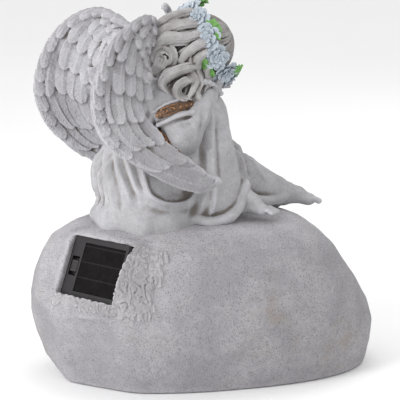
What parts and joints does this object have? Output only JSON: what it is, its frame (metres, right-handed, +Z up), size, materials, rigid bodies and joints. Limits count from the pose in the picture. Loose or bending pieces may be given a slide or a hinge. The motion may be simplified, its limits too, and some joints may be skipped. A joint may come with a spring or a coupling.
{
  "type": "resin angel figurine",
  "caption": "Garden figurine of a winged angel asleep on a hollow rock, with a recessed solar cell, a slide switch and a small lamp.",
  "frame": {"origin": "centre of the overall box, at the level the rock stands on", "axes": "+Z up; +X towards the angel's feet, along the rock's length; -Y towards the side that carries the solar panel"},
  "size_m": [0.251, 0.158, 0.2657],
  "materials": {
    "stone_resin": "matt cast resin with a dark speckle and a warm wash in the hollows",
    "figure_resin": "matt cast resin, dry-brushed pale over a warm grey wash",
    "hair_resin": "matt cast resin with a heavier brown-grey wash",
    "bronze_paint": "antique bronze paint over relief, satin",
    "petal_paint": "pale blue-grey matt paint",
    "leaf_paint": "leaf green matt paint with dark veins",
    "black_abs": "fine textured black ABS",
    "solar_cell": "epoxy-faced silicon cell, satin gloss",
    "knob_grey": "dark grey moulded plastic",
    "rubber_black": "matt",
    "zinc_steel": "zinc plated",
    "board_green": "solder-masked glass epoxy",
    "battery_wrap": "shrink sleeve",
    "cover_grey": "moulded plastic sheet",
    "frosted_clear": "frosted"
  },
  "bodies": {
    "statue": {"base_cover": "cover_grey", "base_screw_1": "zinc_steel", "base_screw_2": "zinc_steel", "base_screw_3": "zinc_steel", "base_screw_4": "zinc_steel", "battery": "battery_wrap", "battery_plate": "zinc_steel", "battery_spring": "zinc_steel", "belt_trim": "bronze_paint", "circuit_board": "board_green", "flower_1": "petal_paint", "flower_10": "petal_paint", "flower_11": "petal_paint", "flower_2": "petal_paint", "flower_3": "petal_paint", "flower_4": "petal_paint", "flower_5": "petal_paint", "flower_6": "petal_paint", "flower_7": "petal_paint", "flower_8": "petal_paint", "flower_9": "petal_paint", "gown_bodice": "figure_resin", "gown_skirt": "figure_resin", "hair": "hair_resin", "head": "figure_resin", "housing_gasket": "rubber_black", "housing_screw_1": "zinc_steel", "housing_screw_2": "zinc_steel", "housing_screw_3": "zinc_steel", "housing_screw_4": "zinc_steel", "lamp_diode": "frosted_clear", "lamp_holder": "black_abs", "lamp_lead": "rubber_black", "lamp_lens": "frosted_clear", "leaf_1": "leaf_paint", "leaf_2": "leaf_paint", "leaf_3": "leaf_paint", "leaf_4": "leaf_paint", "leaf_5": "leaf_paint", "leaf_6": "leaf_paint", "leaf_7": "leaf_paint", "leaf_8": "leaf_paint", "left_arm": "figure_resin", "left_foot": "figure_resin", "left_wing": "figure_resin", "neckline_trim": "bronze_paint", "right_arm": "figure_resin", "right_foot": "figure_resin", "right_wing": "figure_resin", "rock_shell": "stone_resin", "solar_cell": "solar_cell", "solar_frame": "black_abs", "solar_housing": "black_abs", "songbird": "figure_resin", "switch_body": "zinc_steel", "wreath_band": "leaf_paint"},
    "switch": {"switch_knob": "knob_grey"}
  },
  "joints": [
    {"name": "switch_slide", "type": "slide", "parent": "statue", "child": "switch", "axis": [0.3415, 0.2215, 0.9134], "range_m": [-0.0025, 0.0025]}
  ]
}
